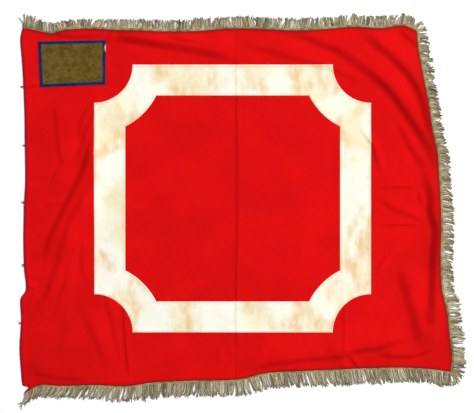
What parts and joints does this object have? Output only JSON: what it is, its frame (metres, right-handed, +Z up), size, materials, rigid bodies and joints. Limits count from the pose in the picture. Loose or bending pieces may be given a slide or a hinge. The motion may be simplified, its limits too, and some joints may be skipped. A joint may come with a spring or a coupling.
{
  "type": "fringed flag",
  "caption": "Worn cloth flag with yarn fringe on all but its hoist edge, a sewn frame band and a bound corner patch, laid out flat with soft folds.",
  "frame": {"origin": "on the surface that the flag lies on, under the middle of its outline box", "axes": "+X from the hoist edge towards the fly edge, +Y towards the head edge, +Z up, out of the flag's face"},
  "size_m": [1.5248, 1.326, 0.021],
  "materials": {
    "red_cloth": "matt woven cotton or wool, bright red, softly creased",
    "cream_cloth": "matt cream cotton, stained tan in places",
    "brown_felt": "matt olive brown felted cloth",
    "blue_braid": "dull blue braid",
    "fringe_yarn": "grey beige twisted yarn with a soft lustre",
    "dark_thread": "dark sewing thread"
  },
  "bodies": {
    "root": {"cloth": "red_cloth", "band": "cream_cloth", "corner_patch": "brown_felt", "patch_binding": "blue_braid", "fringe_head": "fringe_yarn", "fringe_fly": "fringe_yarn", "fringe_foot": "fringe_yarn", "hoist_thread_1": "dark_thread", "hoist_thread_2": "dark_thread", "hoist_thread_3": "dark_thread", "hoist_thread_4": "dark_thread", "hoist_thread_5": "dark_thread"}
  },
  "joints": []
}
